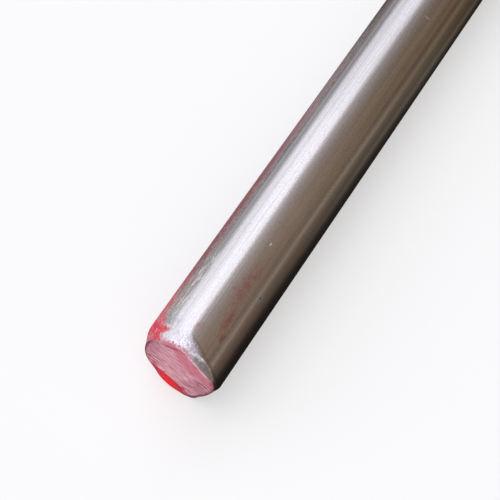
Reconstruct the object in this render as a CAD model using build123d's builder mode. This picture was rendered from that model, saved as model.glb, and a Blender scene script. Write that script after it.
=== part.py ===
from build123d import *
import os
from math import cos, hypot, radians, sin

# Round steel bar, ground bright and cut to length with a saw. Millimetres and degrees.
# Frame: the bar lies on its side along X on the floor z = 0, and the origin is on the
# floor under its middle. The end that is marked with paint points to -X.

# Bar
bar_diameter = 25.4
bar_length = 304.8
# The seam of the round face runs this far round from the line that the bar lies on
seam_angle = 3.0

# Painted end: seen from above the saw ran out of square, so the -Y side stands furthest out
saw_skew = 4.3

# Painted end: the edge was ground away by hand, deepest at the upper +Y side. The ground
# surface is a cone round the end, with round sections across the bar. At the bar's very
# end its section lies this far inside the bar's own circle, and this far off its middle.
grind_inset = 1.47
grind_shift_y = -1.07
grind_shift_z = 0.42
# Going into the bar the section widens and sinks, in millimetres for each millimetre
grind_slope = 0.44
grind_lean = 0.24

# Painted end: four flats were ground over the cone, each in one stroke. A flat looks this
# many degrees round from straight up towards -Y, lies this far from the bar's middle line
# at the bar's very end, and rises this much for each millimetre into the bar.
upper_flat = (37.8, 9.57, 1.55)
lower_flat = (121.1, 10.87, 0.44)
bottom_flat = (135.1, 10.71, 0.36)
far_flat = (231.7, 10.04, 0.37)

# Other end: sawn square, its edge broken by a small even bevel
rear_bevel_length = 1.6
rear_bevel_depth = 1.1

# Spare metal that the saw and the grinder take away
saw_allowance = 6.0

bar_radius = bar_diameter / 2
front_x = -bar_length / 2
grind_radius = bar_radius - grind_inset
# The furthest point of the sawn face, which sets the bar's length
tip_y = grind_shift_y - grind_radius
# At this depth the cone has left the bar all the way round
grind_depth = (grind_inset + hypot(grind_shift_y, grind_shift_z)) / (grind_slope - grind_lean)


def across(x):
    """Plane across the bar at x, centred on the bar, with its own axes along Y and Z."""
    return Plane(origin=(x, 0, bar_radius), x_dir=(0, 1, 0), z_dir=(1, 0, 0))


def grind_section(depth):
    """Centre and radius of the ground cone's round section, this deep in the bar."""
    centre = (grind_shift_y, grind_shift_z - grind_lean * depth)
    return centre, grind_radius + grind_slope * depth


def flat_plane(angle, distance, rise):
    """Plane of a ground flat, looking into the metal that stays."""
    out_y = -sin(radians(angle))
    out_z = cos(radians(angle))
    start = (front_x, distance * out_y, bar_radius + distance * out_z)
    return Plane(origin=start, z_dir=(rise, -out_y, -out_z))


# Everything outside the ground cone, as a sleeve round the painted end
with BuildPart() as ground_away:
    with BuildSketch(across(front_x - saw_allowance)):
        Circle(bar_radius + saw_allowance)
    extrude(amount=saw_allowance + grind_depth)
    for depth in (-saw_allowance, grind_depth):
        centre, radius = grind_section(depth)
        with BuildSketch(across(front_x + depth)):
            with Locations(centre):
                Circle(radius)
    loft(ruled=True, mode=Mode.SUBTRACT)

# The bar: a round blank, its rear edge bevelled, its front end ground and then sawn off
with BuildPart() as round_bar:
    with BuildSketch(across(front_x - saw_allowance)):
        with Locations(Location((0, 0, 0), (0, 0, -90 - seam_angle))):
            Circle(bar_radius)
    extrude(amount=bar_length + saw_allowance)
    rear_face = round_bar.faces().sort_by(Axis.X)[-1]
    chamfer(rear_face.edges(), length=rear_bevel_depth, length2=rear_bevel_length, reference=rear_face)
    add(ground_away.part, mode=Mode.SUBTRACT)
    for angle, distance, rise in (upper_flat, lower_flat, bottom_flat, far_flat):
        split(bisect_by=flat_plane(angle, distance, rise), keep=Keep.TOP)
    # The saw plane turns about the upright line through the furthest point
    skew = radians(saw_skew)
    saw_plane = Plane(origin=(front_x, tip_y, bar_radius), z_dir=(cos(skew), -sin(skew), 0))
    split(bisect_by=saw_plane, keep=Keep.TOP)
round_bar.part.label = "round_bar"

os.makedirs("parts", exist_ok=True)
export_step(round_bar.part, "parts/round_bar.step")
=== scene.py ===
from math import cos, degrees, hypot, radians, sin, tan
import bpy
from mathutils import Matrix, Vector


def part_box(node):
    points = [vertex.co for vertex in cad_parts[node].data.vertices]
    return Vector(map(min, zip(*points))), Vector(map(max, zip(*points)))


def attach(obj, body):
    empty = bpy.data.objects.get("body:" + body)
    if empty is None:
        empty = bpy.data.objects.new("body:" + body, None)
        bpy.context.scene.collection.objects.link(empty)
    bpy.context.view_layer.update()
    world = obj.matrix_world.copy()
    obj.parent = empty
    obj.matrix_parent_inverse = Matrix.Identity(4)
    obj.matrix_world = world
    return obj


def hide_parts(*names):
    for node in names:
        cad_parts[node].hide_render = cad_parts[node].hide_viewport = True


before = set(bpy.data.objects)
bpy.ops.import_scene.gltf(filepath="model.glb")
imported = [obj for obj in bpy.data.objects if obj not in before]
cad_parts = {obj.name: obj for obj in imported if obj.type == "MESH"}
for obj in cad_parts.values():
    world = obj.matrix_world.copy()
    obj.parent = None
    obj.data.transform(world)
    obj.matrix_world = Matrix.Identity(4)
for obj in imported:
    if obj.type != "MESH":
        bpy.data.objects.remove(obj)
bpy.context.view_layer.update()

from types import SimpleNamespace

import bpy
import numpy as np
from mathutils import Vector

# The round steel bar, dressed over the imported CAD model. Metres, in the model's frame: the
# bar lies along X on the floor z = 0, and the end that is marked with paint points to -X.
# Two measures place what is on the surface. Depth runs along the bar from its very end at
# the paint. Around is in degrees from the top line, growing towards -Y.
mm = 0.001

# The bar, as the CAD model has it
bar_low, bar_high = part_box("round_bar")
bar_radius = 12.7 * mm
front_x = bar_low.x
rear_x = bar_high.x
saw_skew = radians(4.3)
grind_inset = 1.47 * mm
grind_shift_y = -1.07 * mm
grind_shift_z = 0.42 * mm
grind_slope = 0.44
grind_lean = 0.24
rear_bevel_length = 1.6 * mm
rear_bevel_depth = 1.1 * mm
grind_radius = bar_radius - grind_inset
tip_y = grind_shift_y - grind_radius
# The flats over the ground cone, as (around, distance from the bar's middle line at its
# very end, rise for each unit into the bar)
flats = (
    (37.8, 9.57 * mm, 1.55),
    (121.1, 10.87 * mm, 0.44),
    (135.1, 10.71 * mm, 0.36),
    (231.7, 10.04 * mm, 0.37),
)

# How finely the mesh is divided, and how often its edges are worked out anew
columns = 256
face_rings = 64
bevel_rows = 30
body_rows = 160
rear_face_rings = 34
rim_rounds = 60
shoulder_rounds = 40
longest_grinding = 12 * mm

# Rounding of the edges, where the saw and the grinder left them
rim_round = 0.09 * mm
rear_rim_round = 0.14 * mm
flat_round = 0.6 * mm
shoulder_round = 0.35 * mm
worn_shoulder_round = 1.3 * mm
rear_bevel_relief = 0.02 * mm

# Where that shoulder is worn, and where a bead of paint ran down to the lower edge, as
# (around, fully up to this many degrees off, gone beyond this many)
worn_patch = (-32, 18, 48)
bead_patch = (-176, 12, 50)
bead_height = 0.9 * mm
bead_unevenness = 0.25

# Marks on the round face, as (depth, around, half length, half width, how deep)
pit = (28.6 * mm, 57, 0.6 * mm, 0.40 * mm, 0.012 * mm)
nick = (43.5 * mm, 26, 0.6 * mm, 0.35 * mm, 0.06 * mm)
scratch = (142.3 * mm, 25, 0.30 * mm, 1.3 * mm, 0.03 * mm)
marks = (pit, nick, scratch)

# Saw marks on the painted face: shallow arcs that run down towards -Y. All in millimetres.
saw_mark_pitch = 1.30
saw_mark_depth = 0.075
saw_mark_slant = radians(-21)
saw_blade_radius = 120.0
saw_mark_start = 0.42


# Noise and shapes for the relief

# Cells along before the noise repeats
noise_run = 509


def lattice_noise(across, along, wrap, seed):
    """Smooth noise from -1 to 1 on a grid of unit cells, which repeats after wrap cells across."""
    table = np.random.default_rng(seed).uniform(-1, 1, (wrap, noise_run))
    low_a, low_b = np.floor(across), np.floor(along)
    part_a, part_b = across - low_a, along - low_b
    ease_a = part_a * part_a * (3 - 2 * part_a)
    ease_b = part_b * part_b * (3 - 2 * part_b)
    a, b = low_a.astype(int) % wrap, low_b.astype(int) % noise_run
    next_a, next_b = (a + 1) % wrap, (b + 1) % noise_run
    near = table[a, b] * (1 - ease_a) + table[next_a, b] * ease_a
    far = table[a, next_b] * (1 - ease_a) + table[next_a, next_b] * ease_a
    return near * (1 - ease_b) + far * ease_b


def round_noise(around, depth, cells, length, seed):
    """Noise on the round face: cells of it once round the bar, each of this length along it."""
    return lattice_noise(around / 360 * cells, depth / length, cells, seed)


def ramp(value, low, high):
    """0 below low, 1 above high, and smooth between them."""
    part = np.clip((value - low) / (high - low), 0, 1)
    return part * part * (3 - 2 * part)


def turn_to(around, centre):
    """Degrees from centre to around, the short way round."""
    return (around - centre + 180) % 360 - 180


# The bar's surface. An array holds one value a column, whose angle is in radians.

angle = np.arange(columns) * 2 * np.pi / columns
out_y, out_z = -np.sin(angle), np.cos(angle)
turned = degrees(1) * angle


def patch_round(centre, full, gone):
    """1 in the columns up to full degrees from centre, and 0 beyond gone degrees."""
    return ramp(-np.abs(turn_to(turned, centre)), -gone, -full)


# The bead stands proud of the lower edge, but not of the bar
bead_waves = 1 + bead_unevenness * round_noise(turned, 0 * turned, 48, 1 * mm, 61)
paint_bead = bead_height * patch_round(*bead_patch) * bead_waves


def smooth_least(a, b, blend):
    """The lesser of two distances, with the corner between them rounded off inwards."""
    part = np.clip(0.5 + (b - a) / (2 * blend), 0, 1)
    return b * (1 - part) + a * part - blend * part * (1 - part)


def cone_reach(x):
    """How far the ground cone lies from the bar's axis in each column, at these places along it."""
    depth = x - front_x
    middle_y, middle_z = grind_shift_y, grind_shift_z - grind_lean * depth
    towards = middle_y * out_y + middle_z * out_z
    size = grind_radius + grind_slope * depth
    return towards + np.sqrt(size**2 - middle_y**2 - middle_z**2 + towards**2)


def ground_reach(x):
    """How far the ground edge lies from the axis: the cone, cut by the flats and raised by the
    thick bead of paint that ran down to the lower edge."""
    reach = cone_reach(x)
    for around, distance, rise in flats:
        facing = np.maximum(np.cos(angle - radians(around)), 0.25)
        reach = smooth_least(reach, (distance + rise * (x - front_x)) / facing, flat_round)
    return reach + paint_bead


def saw_plane_x(y):
    return front_x + tan(saw_skew) * (y - tip_y)


def rim_of_face():
    """Where the saw plane meets the ground edge: places along the bar and distances from its axis."""
    x = np.full(columns, front_x)
    for _ in range(rim_rounds):
        x = saw_plane_x(out_y * ground_reach(x))
    return x, ground_reach(x)


def shoulder_of_grinding():
    """Where the ground edge meets the round face, by halving the stretch that holds it."""
    low, high = np.full(columns, front_x), np.full(columns, front_x + longest_grinding)
    for _ in range(shoulder_rounds):
        x = (low + high) / 2
        inside = ground_reach(x) < bar_radius
        low, high = np.where(inside, x, low), np.where(inside, high, x)
    return x


def spaced(count, density):
    """Shares from 0 to 1, closer together where density(share) is higher."""
    fine = np.linspace(0, 1, 4000)
    run = np.concatenate([[0], np.cumsum(density((fine[1:] + fine[:-1]) / 2))])
    return np.interp(np.linspace(0, run[-1], count), run, fine)


def pool_of_paint(right, up):
    """1 where paint ran together at the lower edge of the face. Millimetres."""
    return ramp(-0.39 * right - 0.92 * up, 8.0, 9.2) * ramp(-right, -2.4, -0.6)


def face_relief(y, z):
    """How deep the painted face is cut by the saw, at these places on it."""
    right, up = -y / mm, (z - bar_radius) / mm
    along = right * cos(saw_mark_slant) + up * sin(saw_mark_slant)
    across = -right * sin(saw_mark_slant) + up * cos(saw_mark_slant)
    across = across + along**2 / (2 * saw_blade_radius) + saw_mark_start
    wander = 0.9 * np.sin(0.55 * across + 0.23 * along) + 0.7 * np.sin(0.31 * along - 0.83 * across)
    ridges = 0.5 + 0.5 * np.sin(2 * np.pi * across / saw_mark_pitch + wander)
    patches = 0.5 + 0.5 * lattice_noise(across / 3.2 + 50, along / 5 + 50, 199, 12)
    lower_right = ramp(right - up, 5, 13)
    left = ramp(-right, 3, 8) * ramp(up, -4, 0)
    strength = 0.15 + 0.4 * patches + 0.65 * np.maximum(lower_right, 0.8 * left)
    fine = 0.5 + 0.5 * lattice_noise(across / 0.45 + 300, along / 2.4 + 90, 997, 13)
    cut = strength * ridges + 0.30 * fine
    return saw_mark_depth * mm * cut * (1 - 0.8 * pool_of_paint(right, up))


def rear_relief(y, z):
    """How deep the bare end face is cut by the saw."""
    along, across = y * 0.94 + z * 0.34, -y * 0.34 + z * 0.94
    across = across + along**2 / (2 * saw_blade_radius * mm)
    wander = lattice_noise(across / (2.4 * mm) + 60, along / (8 * mm) + 40, 223, 21)
    ridges = 0.5 + 0.5 * np.sin(2 * np.pi * across / (0.9 * mm) + 1.5 * wander)
    fine = 0.5 + 0.5 * lattice_noise(across / (0.45 * mm) + 300, along / (3 * mm) + 90, 991, 22)
    return (0.004 + 0.028 * ridges + 0.022 * fine) * mm


def bevel_relief(depth, around):
    """How deep the hand grinder dug into the ground edge: hollows and coarse scratches."""
    hollows = 0.5 + 0.5 * round_noise(around, depth, 18, 9 * mm, 31)
    scores = 0.5 + 0.5 * round_noise(around + 4000 * depth, depth, 96, 3 * mm, 32)
    return (0.10 * hollows + 0.04 * scores) * mm


def body_relief(depth, around):
    """The finest waviness of the ground round face, and its few marks."""
    waves = 0.5 + 0.5 * round_noise(around, depth, 61, 90 * mm, 41)
    finer = 0.5 + 0.5 * round_noise(around, depth, 122, 60 * mm, 42)
    relief = (0.018 + 0.0035 * waves + 0.0012 * finer) * mm
    for at, centre, half_length, half_width, deep in marks:
        off = (depth - at) / half_length
        side = radians(1) * turn_to(around, centre) * bar_radius / half_width
        relief = relief + deep * np.exp(-off**2 - side**2)
    return relief


def bar_rings():
    """The rings of the bar's surface from the middle of the painted face to the middle of the bare
    one, as one array: ring by ring, then x, y and z, then one value a column."""
    rim_x, rim_reach = rim_of_face()
    shoulder_x = shoulder_of_grinding()
    rings = []

    # The painted face, out to where its edge rounds over
    middle_y, middle_z = grind_shift_y, bar_radius + grind_shift_z
    rim_y, rim_z = out_y * rim_reach, bar_radius + out_z * rim_reach
    last = 1 - rim_round / grind_radius
    for share in np.linspace(1 / face_rings, last, face_rings):
        y = middle_y + (rim_y - middle_y) * share
        z = middle_z + (rim_z - middle_z) * share
        rings.append((saw_plane_x(y) + face_relief(y, z), y, z))

    # The ground edge, which blends into the round face more softly at the upper +Y side
    softer = (worn_shoulder_round - shoulder_round) * patch_round(*worn_patch)
    blend = shoulder_round + softer
    first = np.clip(rim_round / (shoulder_x - rim_x), 0, 0.5)
    shares = spaced(bevel_rows, lambda s: 1 + 1.5 * s**3 + 2 * np.exp(-s / 0.1))
    for share in shares:
        x = rim_x + (shoulder_x - rim_x) * (first + (1 - first) * share)
        reach = smooth_least(np.full(columns, bar_radius), ground_reach(x), blend)
        near_shoulder = ramp(share, 0.75, 1.0)
        depth = x - front_x
        dug = (0.15 + 0.85 * ramp(share, 0, 0.3)) * (1 - near_shoulder)
        reach = reach - bevel_relief(depth, turned) * dug
        reach = reach - body_relief(depth, turned) * near_shoulder
        rings.append((x, out_y * reach, bar_radius + out_z * reach))

    # The round face up to the bevel of the bare end
    end_x = rear_x - rear_bevel_length
    length = end_x - front_x

    def density(share):
        depth = share * length
        close = 1 + 14 * np.exp(-depth / (7 * mm)) + 1.5 * (depth > length - 1.5 * mm)
        for at, _, half_length, _, _ in marks:
            close = close + 9 * np.exp(-((depth - at) / (2.2 * half_length))**2)
        return close

    for share in spaced(body_rows + 1, density)[1:]:
        x = shoulder_x + (end_x - shoulder_x) * share
        reach = smooth_least(np.full(columns, bar_radius), ground_reach(x), blend)
        reach = reach - body_relief(x - front_x, turned)
        rings.append((x, out_y * reach, bar_radius + out_z * reach))

    # The bevel of the bare end, then its face
    for share in (0.15, 0.4, 0.7, 1.0):
        x = np.full(columns, end_x + rear_bevel_length * share)
        reach = bar_radius - rear_bevel_depth * share
        rough = 0.5 + 0.5 * round_noise(turned, x - front_x, 90, 1 * mm, 51)
        reach = reach - rear_bevel_relief * rough
        rings.append((x, out_y * reach, bar_radius + out_z * reach))
    flat_radius = bar_radius - rear_bevel_depth - rear_rim_round
    for share in np.linspace(1, 1 / rear_face_rings, rear_face_rings):
        y, z = out_y * flat_radius * share, bar_radius + out_z * flat_radius * share
        rings.append((rear_x - rear_relief(y, z - bar_radius), y, z))
    return np.array(rings)


def make_bar():
    """The bar as one closed mesh: its rings joined by quads, with a fan in each end's middle."""
    rings = bar_rings()
    count = len(rings)
    points = rings.transpose(0, 2, 1).reshape(-1, 3)
    middles = [rings[0].mean(axis=1), rings[-1].mean(axis=1)]
    points = np.vstack([points, middles])
    column = np.arange(columns)
    after = (column + 1) % columns
    faces = []
    for ring in range(count - 1):
        a, b = ring * columns, (ring + 1) * columns
        faces.extend(zip(a + column, a + after, b + after, b + column))
    front_middle, rear_middle = count * columns, count * columns + 1
    last_ring = (count - 1) * columns
    faces.extend(zip(after, column, [front_middle] * columns))
    faces.extend(zip(last_ring + column, last_ring + after, [rear_middle] * columns))
    mesh = bpy.data.meshes.new("ground_bar")
    mesh.from_pydata(points.tolist(), [], [[int(i) for i in face] for face in faces])
    mesh.polygons.foreach_set("use_smooth", [True] * len(mesh.polygons))
    mesh.update()
    bar = bpy.data.objects.new("ground_bar", mesh)
    bpy.context.scene.collection.objects.link(bar)
    return bar


# Materials

# The Mix node's sockets for numbers and for colours: its first and second input, and its output
number_sockets = (2, 3, 0)
colour_sockets = (6, 7, 2)

class Finish:
    """The nodes of one material or of the world, made so that a formula of them reads as one."""

    def __init__(self, owner):
        owner.use_nodes = True
        self.owner = owner
        self.tree = owner.node_tree
        self.shader = self.tree.nodes.get("Principled BSDF")

    def node(self, kind, **settings):
        made = self.tree.nodes.new(kind)
        for name, value in settings.items():
            setattr(made, name, value)
        return made

    def put(self, value, socket):
        """Sets a socket to a number or a colour, or links it to another node's output."""
        if isinstance(value, bpy.types.NodeSocket):
            self.tree.links.new(value, socket)
        elif isinstance(value, tuple) and len(socket.default_value) == 4:
            socket.default_value = (*value, 1)
        else:
            socket.default_value = value

    def math(self, operation, *values):
        made = self.node("ShaderNodeMath", operation=operation)
        for value, socket in zip(values, made.inputs):
            self.put(value, socket)
        return made.outputs[0]

    def folded(self, operation, values):
        """The operation over all the values, from the first to the last."""
        total = values[0]
        for value in values[1:]:
            total = self.math(operation, total, value)
        return total

    def add(self, *values):
        return self.folded("ADD", values)

    def times(self, *values):
        return self.folded("MULTIPLY", values)

    def most(self, *values):
        return self.folded("MAXIMUM", values)

    def least(self, *values):
        return self.folded("MINIMUM", values)

    def without(self, value):
        return self.math("SUBTRACT", 1.0, value)

    def ramp(self, value, low, high):
        """0 at low, 1 at high, and smooth between them. Low may be above high."""
        made = self.node("ShaderNodeMapRange", interpolation_type="SMOOTHSTEP")
        for name, given in {"Value": value, "From Min": low, "From Max": high}.items():
            self.put(given, made.inputs[name])
        return made.outputs["Result"]

    def band(self, value, low, high, soft):
        """1 between low and high, fading to 0 over soft at both sides."""
        return self.times(
            self.ramp(value, low - soft, low + soft), self.ramp(value, high + soft, high - soft)
        )

    def spot(self, across, along, at_across, at_along, half_across, half_along):
        """1 in the middle of an oval spot and 0 on its outline, negative outside."""
        first = self.math("DIVIDE", self.math("SUBTRACT", across, at_across), half_across)
        second = self.math("DIVIDE", self.math("SUBTRACT", along, at_along), half_along)
        return self.without(self.add(self.times(first, first), self.times(second, second)))

    def split(self, vector):
        made = self.node("ShaderNodeSeparateXYZ")
        self.put(vector, made.inputs[0])
        return made.outputs

    def join(self, x, y, z):
        made = self.node("ShaderNodeCombineXYZ")
        for value, socket in zip((x, y, z), made.inputs):
            self.put(value, socket)
        return made.outputs[0]

    def noise(self, vector, scale, detail, roughness):
        """Noise from 0 to 1 about 0.5."""
        made = self.node("ShaderNodeTexNoise")
        self.put(vector, made.inputs["Vector"])
        made.inputs["Scale"].default_value = scale
        made.inputs["Detail"].default_value = detail
        made.inputs["Roughness"].default_value = roughness
        return made.outputs["Fac"]

    def stretched(self, vector, x, y, z):
        made = self.node("ShaderNodeVectorMath", operation="MULTIPLY")
        self.put(vector, made.inputs[0])
        made.inputs[1].default_value = (x, y, z)
        return made.outputs[0]

    def between(self, amount, first, second, sockets, **settings):
        """First where amount is 0 and second where it is 1, by the Mix node's sockets of that kind."""
        made = self.node("ShaderNodeMix", **settings)
        first_socket, second_socket, result = sockets
        self.put(amount, made.inputs["Factor"])
        self.put(first, made.inputs[first_socket])
        self.put(second, made.inputs[second_socket])
        return made.outputs[result]

    def blend(self, amount, first, second):
        """Number first where amount is 0, second where it is 1."""
        return self.between(amount, first, second, number_sockets, data_type="FLOAT")

    def mix(self, amount, first, second):
        """Colour first where amount is 0, second where it is 1."""
        return self.between(amount, first, second, colour_sockets, data_type="RGBA")

    def tinted(self, amount, colour, tint):
        """Colour as it is where amount is 0, and multiplied by tint where it is 1."""
        settings = {"data_type": "RGBA", "blend_type": "MULTIPLY"}
        return self.between(amount, colour, tint, colour_sockets, **settings)

    def colours(self, value, stops):
        """A colour that runs through these stops, as (value, colour)."""
        lowest, highest = stops[0][0], stops[-1][0]
        made = self.node("ShaderNodeValToRGB")
        part = self.math("SUBTRACT", value, float(lowest))
        self.put(self.math("DIVIDE", part, float(highest - lowest)), made.inputs[0])
        elements = made.color_ramp.elements
        while len(elements) < len(stops):
            elements.new(0.5)
        for element, (at, colour) in zip(elements, stops):
            element.position = (at - lowest) / (highest - lowest)
            element.color = (*colour, 1)
        return made.outputs[0]


steel_colour = (0.60, 0.57, 0.54)
dull_steel = (0.56, 0.53, 0.50)
worn_steel = (0.47, 0.43, 0.40)
speckled_steel = (0.42, 0.395, 0.365)
bright_bevel = (0.74, 0.71, 0.73)
dull_bevel = (0.44, 0.41, 0.45)
grey_smear = (0.38, 0.37, 0.37)
# Painted shade: the brown of the ground edge's -Y side
bevel_shade_brown = (0.27, 0.235, 0.195)
stain_brown = (0.37, 0.17, 0.14)
red_stain = (0.46, 0.08, 0.07)
pink_stain = (0.80, 0.14, 0.20)
grime = (0.26, 0.215, 0.19)
pit_dark = (0.015, 0.012, 0.010)
residue_colour = (0.72, 0.67, 0.58)
end_red = (0.47, 0.060, 0.080)
bright_red = (0.58, 0.032, 0.060)
rubbed_red = (0.46, 0.140, 0.165)
sprayed_red = (0.175, 0.030, 0.042)
thick_red = (0.66, 0.003, 0.010)
thin_red = (0.38, 0.018, 0.035)
wine_red = (0.30, 0.012, 0.035)
dark_wash = (0.38, 0.128, 0.163)
pale_wash = (0.72, 0.415, 0.445)
dark_pink = (0.43, 0.105, 0.140)
deep_pink = (0.63, 0.235, 0.275)
wine_line = (0.18, 0.030, 0.060)
# Painted shade along the rim of the sawn face
rim_shade_purple = (0.13, 0.030, 0.050)


# Noise in the finish, as (shrunk along the bar, scale, detail, roughness)
patterns = {
    "clouds": (0.08, 0.3, 3, 0.6),
    "mottle": (0.55, 0.9, 4, 0.65),
    "grain": (0.6, 2.4, 3, 0.7),
    "dust": (0.6, 2.3, 2, 0.6),
    "lines": (0.010, 1.7, 3, 0.65),
    "fine_lines": (0.03, 5.5, 2, 0.6),
}

# Places on the finish are in millimetres of depth and in degrees around. The red on the side
# lies beyond this edge, which bulges over the end of the grinding and then moves in steps, as
# (from depth, to depth, degrees).
paint_edge = -27.0
paint_edge_bulge = (4.2, 5.7, 8.0)
paint_edge_steps = ((5.6, 7.6, -12.0), (8.0, 12.0, -4.0), (24.0, 40.0, 4.0))

# Reddish stain, in spots: (depth, around, half depth, half around, how strong)
stain_spots = (
    (16.0, 37, 7.0, 6.5, 1.0),
    (28.0, 32, 12.0, 10, 0.75),
    (9.0, 13, 2.0, 6, 0.4),
)

# Wine red on the sawn face, in spots: (right, up, half right, half up, how they lean)
wine_spots = (
    (11.7, 2.6, 0.9, 1.2, 0.0),
    (-8.1, 0.0, 1.4, 0.7, -0.45),
    (-1.2, 10.1, 4.0, 0.8, -0.30),
)

# Dull lines along the round face, as (around, half width in degrees, how dull)
draw_lines = (
    (-29.0, 1.1, 0.26),
    (-14.2, 1.0, 0.12),
    (-19.5, 0.4, 0.08),
    (2.2, 0.5, 0.06),
    (-8.3, 0.4, 0.06),
)


def under_grinding(f, p):
    """How far a place lies inside the surface of the ground edge."""
    cone_up = f.add(p.up, f.times(p.depth, grind_lean), -grind_shift_z / mm)
    cone_right = f.add(p.right, grind_shift_y / mm)
    cone_out = f.math("SQRT", f.add(f.times(cone_up, cone_up), f.times(cone_right, cone_right)))
    size = f.add(f.times(p.depth, grind_slope), grind_radius / mm)
    under = f.math("SUBTRACT", size, cone_out)
    for towards, distance, rise in flats:
        out = f.add(f.times(p.right, sin(radians(towards))), f.times(p.up, cos(radians(towards))))
        off = f.math("SUBTRACT", f.add(f.times(p.depth, rise), distance / mm), out)
        under = f.least(under, f.times(off, 1 / hypot(1, rise)))
    return under


def bar_places(f):
    """Places on the bar in millimetres and degrees, the noise there, and where the sawn face and
    the ground edge are."""
    place = f.node("ShaderNodeTexCoord").outputs["Object"]
    in_mm = f.stretched(place, 1 / mm, 1 / mm, 1 / mm)
    x, y, z = f.split(in_mm)
    p = SimpleNamespace(z=z)
    p.depth = f.math("SUBTRACT", x, front_x / mm)
    p.right = f.times(y, -1.0)
    p.up = f.math("SUBTRACT", z, bar_radius / mm)
    p.around = f.times(f.math("ARCTAN2", p.right, p.up), degrees(1))

    for name, (shrunk, scale, detail, roughness) in patterns.items():
        setattr(p, name, f.noise(f.stretched(in_mm, shrunk, 1, 1), scale, detail, roughness))
    p.ragged = f.add(p.mottle, f.times(p.grain, 0.5), -0.75)

    face_x = f.times(f.math("SUBTRACT", y, tip_y / mm), tan(saw_skew))
    p.from_face = f.math("SUBTRACT", p.depth, face_x)
    p.on_face = f.ramp(p.from_face, 0.20, 0.12)
    p.to_edge = under_grinding(f, p)
    near_end = f.ramp(p.depth, 9.5, 8.5)
    p.on_bevel = f.times(f.ramp(p.to_edge, 0.45, 0.12), f.without(p.on_face), near_end)
    return p


def paint_on_side(f, p):
    """Where the side is red: thick near the end, and sprayed thinly on along the upper +Y side.
    Also notes where the paint is thick, and how many degrees inside its edge a place lies."""
    depth, around, ragged, from_face = p.depth, p.around, p.ragged, p.from_face
    bulge_start, bulge_end, bulge = paint_edge_bulge
    limit = f.add(f.times(f.band(depth, bulge_start, bulge_end, 0.4), bulge), paint_edge)
    for start, end, turn in paint_edge_steps:
        limit = f.add(limit, f.times(f.ramp(depth, start, end), turn))
    p.inside = f.times(f.math("SUBTRACT", limit, around), f.ramp(around, -179, -160))
    p.thick = f.ramp(f.add(depth, f.times(ragged, -9.0)), 10.5, 7.5)
    sharp_inside = f.ramp(f.add(p.inside, f.times(ragged, 50.0)), -1.0, 4.0)

    # The spray, whose edge is more tattered near the end
    tatter = f.times(ragged, f.blend(f.ramp(depth, 35, 65), 50.0, 16.0))
    soft_inside = f.ramp(f.add(p.inside, tatter), -5.0, 9.0)
    spray_fade = f.times(f.ramp(depth, 190, 40), 0.88)
    patchy = f.times(ragged, f.blend(f.ramp(depth, 40, 70), 1.2, 0.4))
    spray = f.times(f.ramp(f.add(spray_fade, patchy), 0.05, 0.9), f.ramp(depth, 200, 150))

    # Specks beyond the edge, what is left of the paint on the ground edge, and a line at its rim
    speckle = f.times(
        f.ramp(p.mottle, 0.57, 0.66), f.ramp(depth, 34, 6), f.band(around, -46, -20, 8), 0.35
    )
    bevel_rub = f.times(f.ramp(f.add(ragged, f.times(from_face, -0.16)), -0.24, 0.14), 0.50)
    bevel_rub = f.times(bevel_rub, f.band(around, -45, 6, 16), p.on_bevel)
    rim_line = f.ramp(f.add(from_face, f.times(ragged, 4.0)), 0.9, 0.3)
    rim_line = f.times(rim_line, f.band(around, -60, 24, 10), 0.7)
    return f.most(
        f.times(sharp_inside, p.thick), f.times(soft_inside, spray, 0.88), speckle, bevel_rub, rim_line
    )


def stain_on_steel(f, p):
    """Reddish stain on the upper -Y side, which the steel shows through, with its redder middle."""
    depth, around, ragged = p.depth, p.around, p.ragged
    spots = [
        f.times(f.spot(depth, around, at, centre, half_depth, half_around), strength)
        for at, centre, half_depth, half_around, strength in stain_spots
    ]
    spread = f.most(*spots)
    haze = f.times(f.ramp(spread, -0.4, 1.0), 0.42)
    blotches = f.times(f.ramp(f.add(spread, f.times(ragged, 5.0)), -0.1, 1.4), 0.56)
    middle = f.add(f.spot(depth, around, 10.9, 43, 1.6, 4), f.times(ragged, 3.0))
    return f.add(blotches, haze), f.times(f.ramp(middle, 0.0, 0.9), 0.6)


def mark_spot(f, p, mark, half_depth, half_around):
    """The spot of colour over one of the marks on the round face."""
    at, centre = mark[0] / mm, mark[1]
    return f.spot(p.depth, p.around, at, centre, half_depth, half_around)


def scuffs_on_side(f, p):
    """Pale scratched residue and chips, with the nick and the scratch, and the grime between them."""
    depth, around = p.depth, p.around
    scuff_place = f.join(f.times(depth, 0.11), f.times(around, 0.22), f.times(p.z, 0.1))
    scuff = f.noise(scuff_place, 2.2, 4, 0.75)
    scuffed = f.times(f.band(depth, 8, 33, 6), f.band(around, -43, -23, 6))
    residue = f.times(f.ramp(scuff, 0.48, 0.64), scuffed, 0.70)
    grimy = f.times(f.ramp(scuff, 0.46, 0.36), scuffed, 0.55)
    chips = f.times(f.ramp(p.dust, 0.60, 0.68), f.ramp(depth, 36, 8), f.band(around, -75, -22, 8), 0.75)
    edge_chips = f.times(f.ramp(p.grain, 0.50, 0.60), f.band(p.inside, -14, 6, 5), 0.75)
    edge_chips = f.times(edge_chips, f.band(p.from_face, 0.8, 5.5, 0.8))
    nick_mark = f.ramp(f.add(mark_spot(f, p, nick, 0.9, 1.5), f.times(p.ragged, 2.0)), 0.1, 1.0)
    scratch_mark = f.ramp(mark_spot(f, p, scratch, 0.32, 5.5), 0.0, 0.9)
    pale = f.most(residue, chips, edge_chips, f.times(nick_mark, 0.55), f.times(scratch_mark, 0.22))
    return pale, grimy


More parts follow.
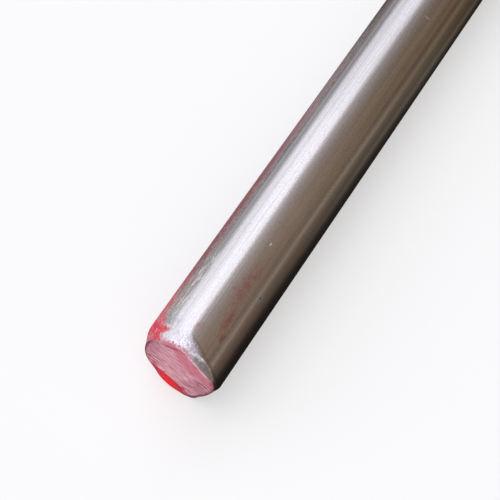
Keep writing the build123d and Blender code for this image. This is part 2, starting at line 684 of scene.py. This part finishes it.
def saw_marks(f, p):
    """Streaks along the saw marks of the painted face, and where its grooves and short strokes are
    darker. The grooves follow the relief's own formula."""
    right, up, ragged = p.right, p.up, p.ragged
    along = f.add(f.times(right, cos(saw_mark_slant)), f.times(up, sin(saw_mark_slant)))
    across = f.add(f.times(right, -sin(saw_mark_slant)), f.times(up, cos(saw_mark_slant)))
    across = f.add(across, f.times(along, along, 1 / (2 * saw_blade_radius)), saw_mark_start)
    wander = f.add(
        f.times(f.math("SINE", f.add(f.times(across, 0.55), f.times(along, 0.23))), 0.9),
        f.times(f.math("SINE", f.add(f.times(along, 0.31), f.times(across, -0.83))), 0.7),
    )
    phase = f.add(f.times(across, 2 * np.pi / saw_mark_pitch), wander, f.times(ragged, 2.5))
    grooves = f.add(f.times(f.math("SINE", phase), 0.5), 0.5)
    uneven = f.add(across, f.times(ragged, 0.8))
    streaks = f.noise(f.join(f.times(along, 0.24), uneven, 0.0), 1.6, 4, 0.75)
    strokes = f.noise(f.join(f.times(along, 0.42), f.times(uneven, 1.5), 0.0), 1.9, 2, 0.6)

    # Both are stronger at the lower right and at the left
    lower_right = f.times(f.ramp(f.math("SUBTRACT", right, up), 4.5, 9.0), f.ramp(up, 2.0, -0.5))
    left = f.times(f.ramp(right, -3.5, -7.5), f.ramp(up, -4.5, -1.0))
    stronger = f.most(lower_right, left)
    groove_darkening = f.times(
        f.ramp(f.add(f.times(grooves, 0.5), streaks), 0.80, 1.08), f.add(f.times(stronger, 1.05), 0.22)
    )
    hatch = f.times(f.ramp(strokes, 0.56, 0.66), f.add(f.times(stronger, 0.85), 0.20))
    return streaks, groove_darkening, hatch


def pool_on_face(f, p):
    """Where paint ran together at the lower edge of the sawn face, and its colour."""
    right, up, ragged = p.right, p.up, p.ragged
    pool_edge = f.add(f.times(right, -0.39), f.times(up, -0.92), f.times(ragged, 4.5), -7.2)
    pool_end = f.ramp(f.add(right, f.times(up, 0.35), f.times(ragged, -5.0)), -0.2, -2.0)
    pool_reach = f.times(f.ramp(right, 4.5, 3.0), f.ramp(p.from_face, 2.8, 1.4))
    core = f.ramp(f.add(pool_edge, f.times(ragged, 2.0)), 0.2, 1.7)
    core = f.times(core, f.band(right, -6.0, -0.6, 1.6))
    return f.times(f.ramp(pool_edge, -0.5, 0.5), pool_end, pool_reach), f.mix(core, thin_red, thick_red)


def metal_colour(f, p, stain, stain_red):
    """Colour of the round face and ground edge, with what dulls and stains them, and painted light and
    shade.
    """
    depth, around, ragged = p.depth, p.around, p.ragged
    steel = f.mix(f.ramp(p.clouds, 0.35, 0.65), steel_colour, dull_steel)
    steel = f.mix(f.times(f.ramp(p.lines, 0.48, 0.66), 0.6), steel, worn_steel)
    for at, half, amount in draw_lines:
        line = f.band(f.add(around, f.times(ragged, 1.5)), at - half, at + half, 0.7)
        steel = f.mix(f.times(line, amount), steel, grime)
    steel = f.mix(f.times(f.ramp(p.dust, 0.46, 0.66), 0.42), steel, speckled_steel)
    steel = f.mix(stain, steel, stain_brown)
    steel = f.mix(stain_red, steel, red_stain)
    red_spot = f.add(f.spot(depth, around, 25, 20, 0.9, 3.6), f.times(ragged, 4.5))
    steel = f.mix(f.times(f.ramp(red_spot, 0.2, 1.1), 0.62), steel, pink_stain)
    smeared = f.times(f.band(depth, 4.5, 9.5, 1.5), f.band(around, -38, -11, 5))
    steel = f.mix(f.times(smeared, f.ramp(p.mottle, 0.36, 0.60), 0.9), steel, grey_smear)

    # The ground edge is scratched. It is painted lighter in a band over the top and +Y side, a painted
    # highlight where the long light is reflected, and brown at the -Y side, a painted shade.
    bevel_highlight_band = f.times(f.band(around, -42, 8, 8), 0.06)
    scratched = f.mix(f.ramp(f.add(p.grain, bevel_highlight_band), 0.42, 0.62), dull_bevel, bright_bevel)
    # Painted shade: brown towards the -Y side of the ground edge
    bevel_shade_side = f.ramp(f.add(around, f.times(ragged, 90.0)), 22, 56)
    return f.mix(p.on_bevel, steel, f.mix(bevel_shade_side, scratched, bevel_shade_brown))


def side_red(f, p):
    """The colour of the red on the side."""
    near_red = f.mix(f.ramp(p.mottle, 0.42, 0.58), end_red, bright_red)
    near_red = f.mix(f.times(f.ramp(p.dust, 0.50, 0.64), 0.55), near_red, rubbed_red)
    low_rub = f.ramp(f.add(p.from_face, f.times(p.ragged, 4.0)), 3.6, 0.6)
    low_rub = f.times(low_rub, f.ramp(p.around, -38, -50))
    near_red = f.mix(f.times(low_rub, 0.7), near_red, rubbed_red)
    return f.mix(f.ramp(p.depth, 8, 34), near_red, sprayed_red)


def face_wash(f, p, streaks, cut_darkening):
    """The colour of the thin paint on the sawn face: deep at the upper right, paler lower down, with a
    painted highlight and painted shade at its rim.
    """
    right, up, ragged = p.right, p.up, p.ragged
    steep = f.times(f.add(up, f.times(right, 1.7), -7.0), 0.5)
    shallow = f.add(up, f.times(right, 0.2), -2.9)
    deep = f.add(f.least(steep, shallow), f.times(streaks, 4.0), -2.0, f.times(ragged, 2.0))
    wash = f.mix(f.ramp(streaks, 0.40, 0.60), dark_wash, pale_wash)
    pinks = f.mix(f.ramp(streaks, 0.40, 0.62), dark_pink, deep_pink)
    wash = f.mix(f.ramp(deep, -1.4, 1.4), wash, pinks)
    wash = f.mix(f.times(f.ramp(up, -4.5, -8.0), 0.55), wash, pale_wash)
    wash = f.mix(f.times(f.ramp(p.dust, 0.50, 0.66), 0.35), wash, dark_wash)

    # A pale line at the right rim is a painted highlight on its rounding. Paint gathered in spots, and
    # the saw's cuts are darker. The left and lower right rim carry painted shade.
    # Painted highlight: a pale line along the right rim
    rim_highlight = f.times(
        f.ramp(f.add(p.to_edge, f.times(ragged, 1.5)), 0.6, 0.1),
        f.ramp(f.add(right, up), 9.0, 12.5), f.ramp(right, 11.0, 9.5), f.ramp(p.grain, 0.42, 0.56),
    )
    wash = f.mix(f.times(rim_highlight, 0.6), wash, bright_bevel)
    spots = [
        f.spot(right, f.add(up, f.times(right, lean)), at_right, at_up, half_right, half_up)
        for at_right, at_up, half_right, half_up, lean in wine_spots
    ]
    wine = f.ramp(f.add(f.most(*spots), f.times(ragged, 3.5)), 0.0, 0.9)
    wash = f.mix(f.times(wine, 0.62), wash, wine_red)
    wash = f.mix(cut_darkening, wash, wine_line)
    # Painted shade: darker along the left and lower right rim
    rim_shade = f.times(
        f.ramp(f.add(p.to_edge, f.times(ragged, 1.2)), 0.95, 0.20),
        f.most(f.ramp(right, -6.0, -9.0), f.ramp(f.math("SUBTRACT", right, up), 9.5, 12.0)),
    )
    return f.mix(f.times(rim_shade, 0.85), wash, rim_shade_purple)


def bar_finish():
    """Ground steel with red marking paint over one end, from places on the bar alone."""
    f = Finish(bpy.data.materials.new("ground_steel"))
    p = bar_places(f)
    side_paint = paint_on_side(f, p)
    stain, stain_red = stain_on_steel(f, p)
    pale, grimy = scuffs_on_side(f, p)
    pit_mark = f.ramp(mark_spot(f, p, pit, 1.0, 3.0), 0.0, 0.9)
    streaks, groove_darkening, hatch = saw_marks(f, p)
    pool, pool_colour = pool_on_face(f, p)

    colour = f.mix(side_paint, metal_colour(f, p, stain, stain_red), side_red(f, p))
    colour = f.mix(grimy, colour, grime)
    colour = f.mix(f.times(pit_mark, 0.85), colour, pit_dark)
    colour = f.mix(pale, colour, residue_colour)
    colour = f.mix(p.on_face, colour, face_wash(f, p, streaks, f.most(groove_darkening, hatch)))
    colour = f.mix(pool, colour, pool_colour)

    # How much of what shows is paint or dirt and not metal
    paint = f.most(side_paint, pale, f.times(grimy, 0.5), f.times(stain, 0.25), f.times(pit_mark, 0.8))
    paint = f.most(paint, f.times(p.on_face, 0.90), pool)
    bevel_rough = f.blend(f.ramp(p.mottle, 0.35, 0.65), 0.30, 0.46)
    steel_rough = f.blend(p.on_bevel, f.blend(p.lines, 0.12, 0.18), bevel_rough)
    paint_rough = f.blend(pool, f.blend(p.on_face, 0.62, 0.50), 0.34)
    f.put(colour, f.shader.inputs["Base Color"])
    f.put(f.without(paint), f.shader.inputs["Metallic"])
    f.put(f.blend(paint, steel_rough, paint_rough), f.shader.inputs["Roughness"])
    f.shader.inputs["Specular IOR Level"].default_value = 0.06

    # Fine relief, in millimetres
    height = f.add(
        f.times(p.fine_lines, 0.008, f.without(p.on_face)),
        f.times(p.dust, f.without(p.on_face), 0.012),
        f.times(p.grain, p.on_bevel, 0.08),
        f.times(p.mottle, p.on_bevel, 0.13),
        f.times(streaks, p.on_face, 0.12),
        f.times(hatch, p.on_face, -0.06),
        f.times(side_paint, p.thick, 0.03),
        f.times(pale, 0.02),
    )
    bump = f.node("ShaderNodeBump")
    bump.inputs["Strength"].default_value = 1.0
    bump.inputs["Distance"].default_value = mm
    f.put(height, bump.inputs["Height"])
    f.put(bump.outputs[0], f.shader.inputs["Normal"])
    return f.owner


# The studio

floor_colour = (0.83, 0.84, 0.80)
floor_half_width = 6.0
# The share of plain white in what the camera and the metal see of the floor
floor_whiteness = 0.5


def make_floor():
    """A plain pale floor, wide enough to fill every view."""
    half = floor_half_width
    mesh = bpy.data.meshes.new("floor")
    corners = [(-half, -half, 0), (half, -half, 0), (half, half, 0), (-half, half, 0)]
    mesh.from_pydata(corners, [], [(0, 1, 2, 3)])
    floor = bpy.data.objects.new("floor", mesh)
    bpy.context.scene.collection.objects.link(floor)
    f = Finish(bpy.data.materials.new("pale_floor"))
    f.put(floor_colour, f.shader.inputs["Base Color"])
    f.shader.inputs["Roughness"].default_value = 0.9
    f.shader.inputs["Specular IOR Level"].default_value = 0.1
    path = f.node("ShaderNodeLightPath").outputs
    seen = f.most(path["Is Camera Ray"], path["Is Glossy Ray"], path["Is Transmission Ray"])
    plain = f.node("ShaderNodeEmission")
    mixed = f.node("ShaderNodeMixShader")
    f.put(f.times(seen, floor_whiteness), mixed.inputs[0])
    f.put(f.shader.outputs[0], mixed.inputs[1])
    f.put(plain.outputs[0], mixed.inputs[2])
    f.put(mixed.outputs[0], f.tree.nodes["Material Output"].inputs["Surface"])
    mesh.materials.append(f.owner)


# Light that comes from round the bar, by the angle from straight up towards -Y
studio_light = (
    (-100, (0.34, 0.32, 0.34)),
    (-82, (0.66, 0.66, 0.75)),
    (-75, (0.57, 0.57, 0.65)),
    (-70, (0.58, 0.59, 0.68)),
    (-64, (1.10, 1.13, 1.29)),
    (-56, (1.55, 1.58, 1.82)),
    (-47, (1.36, 1.39, 1.60)),
    (-38, (1.70, 1.74, 2.00)),
    (-9, (1.70, 1.74, 2.00)),
    (-5, (0.82, 0.76, 0.82)),
    (5, (0.59, 0.53, 0.56)),
    (13, (0.47, 0.42, 0.41)),
    (25, (0.41, 0.33, 0.29)),
    (41, (0.38, 0.29, 0.24)),
    (57, (0.31, 0.24, 0.19)),
    (66, (0.35, 0.26, 0.20)),
    (74, (0.21, 0.16, 0.13)),
    (80, (0.29, 0.23, 0.19)),
    (89, (0.45, 0.37, 0.31)),
    (92, (0.42, 0.34, 0.28)),
)
# What is left of it over the far end, which is darker and more olive
far_light = (
    (4, (0.90, 0.90, 0.90)),
    (31, (0.68, 0.66, 0.56)),
    (43, (0.90, 0.88, 0.76)),
    (60, (0.66, 0.64, 0.52)),
    (70, (0.88, 0.84, 0.72)),
    (80, (0.64, 0.62, 0.52)),
    (92, (0.66, 0.60, 0.52)),
)
front_light = (1.48, 1.46, 1.60)
low_front_light = (1.00, 0.98, 1.00)
backdrop_colour = (0.95, 0.955, 0.965)

# The cards that the metal reflects
side_card_overhang = 0.12
front_card_gap = 14 * mm
front_card_reach = 0.50
front_card_width = 0.80
front_card_colour = (0.62, 0.57, 0.62)


def make_world():
    """A long soft light over the +Y side, a soft light before the painted end, and a dim warm room."""
    world = bpy.data.worlds.new("studio")
    bpy.context.scene.world = world
    f = Finish(world)
    sky = f.tree.nodes["Background"]
    # A direction's own x is -1 before the painted end and 1 past the far end
    x, y, z = f.split(f.node("ShaderNodeTexCoord").outputs["Generated"])
    round_angle = f.times(f.math("ARCTAN2", f.times(y, -1.0), z), degrees(1))
    # The long light grows narrower and fades towards the far end
    far = f.ramp(x, 0.48, 0.66)
    turn = f.times(f.ramp(x, 0.48, 0.62), f.blend(f.ramp(round_angle, 0, 50), 4.0, -4.0))
    room = f.colours(f.add(round_angle, turn), studio_light)
    room = f.tinted(f.ramp(x, 0.55, 0.64), room, f.colours(round_angle, far_light))
    fade = f.blend(far, 1.0, f.blend(f.ramp(round_angle, 0, -6), 0.80, 0.86))
    faded = f.node("ShaderNodeVectorMath", operation="SCALE")
    f.put(room, faded.inputs[0])
    f.put(fade, faded.inputs["Scale"])
    light = f.mix(f.ramp(x, -0.02, -0.25), faded.outputs[0], low_front_light)
    overhead = f.times(f.ramp(x, 0.30, 0.10), f.ramp(round_angle, 34, 14))
    front = f.most(overhead, f.ramp(x, -0.42, -0.62))
    # The camera sees a pale backdrop behind the floor, and the metal the studio that it stands in
    seen = f.node("ShaderNodeLightPath").outputs["Is Camera Ray"]
    f.put(f.mix(seen, f.mix(front, light, front_light), backdrop_colour), sky.inputs["Color"])
    sky.inputs["Strength"].default_value = 1.0


def glossy_card(name, corners):
    """A card that only the metal's reflections see, and the nodes and glow of its material."""
    mesh = bpy.data.meshes.new(name)
    mesh.from_pydata(corners, [], [(0, 1, 2, 3)])
    card = bpy.data.objects.new(name, mesh)
    bpy.context.scene.collection.objects.link(card)
    card.visible_camera = False
    card.visible_shadow = False
    card.visible_diffuse = False
    f = Finish(bpy.data.materials.new(name))
    f.shader.inputs["Emission Strength"].default_value = 1.0
    f.shader.inputs["Base Color"].default_value = (0, 0, 0, 1)
    f.shader.inputs["Roughness"].default_value = 1.0
    f.shader.inputs["Specular IOR Level"].default_value = 0.0
    mesh.materials.append(f.owner)
    return f, f.shader.inputs["Emission Color"]


def side_card(name, sign, near, low, reach, height, near_stops, far_stops, end_tint):
    """A long low card beside the bar, which keeps the pale floor out of the metal's lower half, as
    in the photograph. It rises from low, where it is near, to height at its reach. Its brightness
    follows the distance from the bar, in millimetres, and how far along the bar it is."""
    left, right = front_x - side_card_overhang, rear_x + side_card_overhang
    corners = [
        (left, sign * near, low),
        (right, sign * near, low),
        (right, sign * reach, height),
        (left, sign * reach, height),
    ]
    f, glow = glossy_card(name, corners)
    x, y, _ = f.split(f.node("ShaderNodeTexCoord").outputs["Object"])
    distance = f.times(f.math("ABSOLUTE", y), 1 / mm)
    further_out = f.add(f.times(f.ramp(x, -0.06, 0.02), 0.2), 1.0)
    near_glow = f.colours(distance, near_stops)
    far_glow = f.colours(f.times(distance, further_out), far_stops)
    seen = f.mix(f.ramp(x, -0.13, -0.02), near_glow, far_glow)
    f.put(f.tinted(f.ramp(x, -0.02, 0.03), seen, end_tint), glow)


def front_card():
    """A dim card on the floor before the painted end."""
    near, far = front_x - front_card_gap, front_x - front_card_reach
    half = front_card_width / 2
    corners = [(near, -half, mm), (near, half, mm), (far, half, mm), (far, -half, mm)]
    f, glow = glossy_card("card_front", corners)
    f.put(front_card_colour, glow)


right_card_near = (
    (3, (0.015, 0.013, 0.015)),
    (18, (0.018, 0.015, 0.014)),
    (23, (0.040, 0.030, 0.025)),
    (25, (0.060, 0.045, 0.036)),
    (29, (0.118, 0.085, 0.066)),
    (39, (0.190, 0.135, 0.108)),
    (55, (0.230, 0.163, 0.132)),
    (66, (0.320, 0.240, 0.200)),
    (74, (0.400, 0.310, 0.265)),
    (80, (0.420, 0.340, 0.290)),
)
right_card_far = (
    (3, (0.016, 0.014, 0.016)),
    (17, (0.028, 0.024, 0.021)),
    (21, (0.065, 0.055, 0.045)),
    (23, (0.115, 0.097, 0.080)),
    (26.5, (0.200, 0.168, 0.140)),
    (31, (0.120, 0.100, 0.080)),
    (55, (0.205, 0.165, 0.128)),
    (66, (0.290, 0.235, 0.190)),
    (80, (0.360, 0.300, 0.250)),
)
left_card_near = (
    (14, (0.22, 0.20, 0.20)),
    (27, (0.21, 0.19, 0.19)),
    (40, (0.33, 0.30, 0.30)),
    (63, (0.43, 0.40, 0.40)),
    (80, (0.55, 0.51, 0.51)),
)
left_card_far = (
    (14, (0.08, 0.06, 0.06)),
    (27, (0.08, 0.06, 0.06)),
    (40, (0.12, 0.10, 0.10)),
    (63, (0.20, 0.18, 0.18)),
    (80, (0.36, 0.34, 0.35)),
)


def make_camera():
    """The photograph's camera: no roll, no shift, and a long lens."""
    place = Vector((-0.357929, -0.141970, 0.424650))
    ahead = Vector((0.49885, 0.28694, -0.81784))
    data = bpy.data.cameras.new("camera")
    data.sensor_width = 36
    data.lens = 125.64
    camera = bpy.data.objects.new("camera", data)
    camera.location = place
    camera.rotation_euler = ahead.to_track_quat("-Z", "Y").to_euler()
    bpy.context.scene.collection.objects.link(camera)
    bpy.context.scene.camera = camera


bpy.context.scene.view_settings.view_transform = "Standard"
make_camera()
make_world()
make_floor()
side_card(
    "card_right", sign=-1, near=3 * mm, low=0.15 * mm, reach=80 * mm, height=20.5 * mm,
    near_stops=right_card_near, far_stops=right_card_far, end_tint=(0.75, 0.68, 0.58),
)
side_card(
    "card_left", sign=1, near=14.5 * mm, low=0.4 * mm, reach=80 * mm, height=24 * mm,
    near_stops=left_card_near, far_stops=left_card_far, end_tint=(1.20, 1.20, 1.20),
)
front_card()

bar = make_bar()
bar.data.materials.append(bar_finish())
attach(bar, "root")
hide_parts("round_bar")
